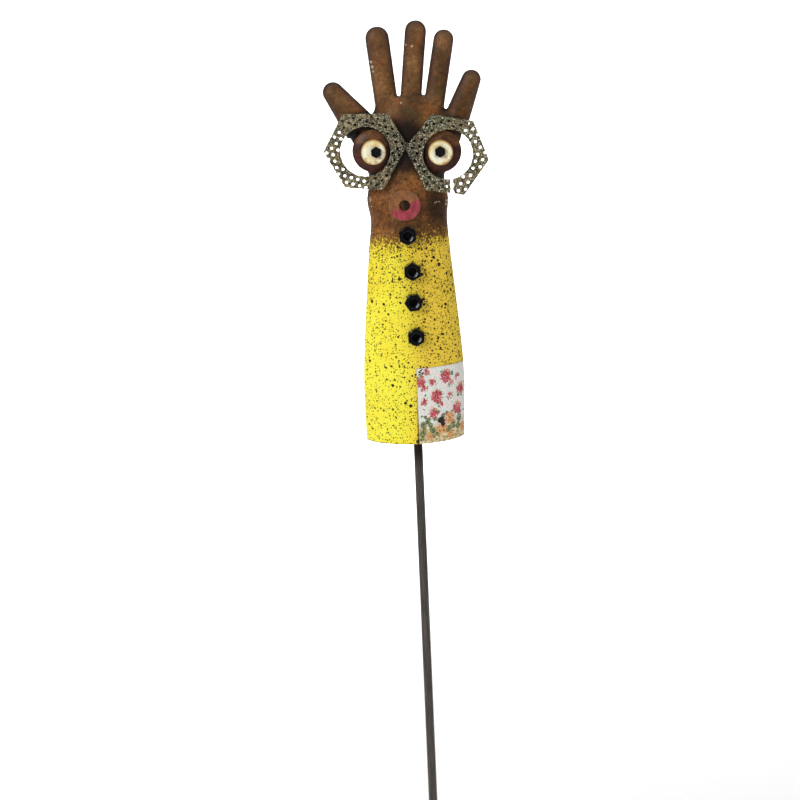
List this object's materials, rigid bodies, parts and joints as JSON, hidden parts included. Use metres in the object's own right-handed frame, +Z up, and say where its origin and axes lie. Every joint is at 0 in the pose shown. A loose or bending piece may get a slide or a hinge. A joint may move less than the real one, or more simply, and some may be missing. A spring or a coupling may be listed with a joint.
{
  "type": "scarecrow figure",
  "caption": "Garden stake figure: a hollow steel hand with a face of discs, collars and perforated hexagonal glasses, nut buttons and a printed tin patch, standing on a round steel rod.",
  "frame": {"origin": "centre of the stake's lower end face", "axes": "+Z up along the stake, -Y the way the figure looks, +X to the right of someone looking at its face"},
  "size_m": [0.1603, 0.0605, 1.1833],
  "materials": {
    "form_front": "rusty brown steel hand, forearm sprayed yellow with dark speckles",
    "form_back": "rusty brown steel with a yellow sprayed forearm",
    "rod_steel": "dark drawn bar",
    "perforated_steel": "weathered grey-green, worn bright at the edges",
    "disc_steel": "maroon-brown, satin",
    "pale_brass": "turned, with brown smears",
    "black_paint": "gloss",
    "lips_paint": "pink paint over rust",
    "printed_tin": "printed with small roses, satin",
    "zinc_steel": "zinc plated",
    "weld_metal": "as welded"
  },
  "bodies": {
    "root": {"hand_form_front": "form_front", "hand_form_back": "form_back", "stake_rod": "rod_steel", "rod_weld_lower_left": "weld_metal", "rod_weld_lower_right": "weld_metal", "rod_weld_upper_left": "weld_metal", "rod_weld_upper_right": "weld_metal", "left_glasses_ring": "perforated_steel", "right_glasses_ring": "perforated_steel", "glasses_bridge_weld": "weld_metal", "left_glasses_weld": "weld_metal", "right_glasses_weld": "weld_metal", "left_eye_disc": "disc_steel", "right_eye_disc": "disc_steel", "left_eye_collar": "pale_brass", "right_eye_collar": "pale_brass", "left_pupil_bolt": "black_paint", "right_pupil_bolt": "black_paint", "left_eye_nut": "zinc_steel", "right_eye_nut": "zinc_steel", "left_eye_weld": "weld_metal", "right_eye_weld": "weld_metal", "lips_washer": "lips_paint", "button_nut_1": "black_paint", "button_nut_2": "black_paint", "button_nut_3": "black_paint", "button_nut_4": "black_paint", "flower_patch": "printed_tin"}
  },
  "joints": []
}
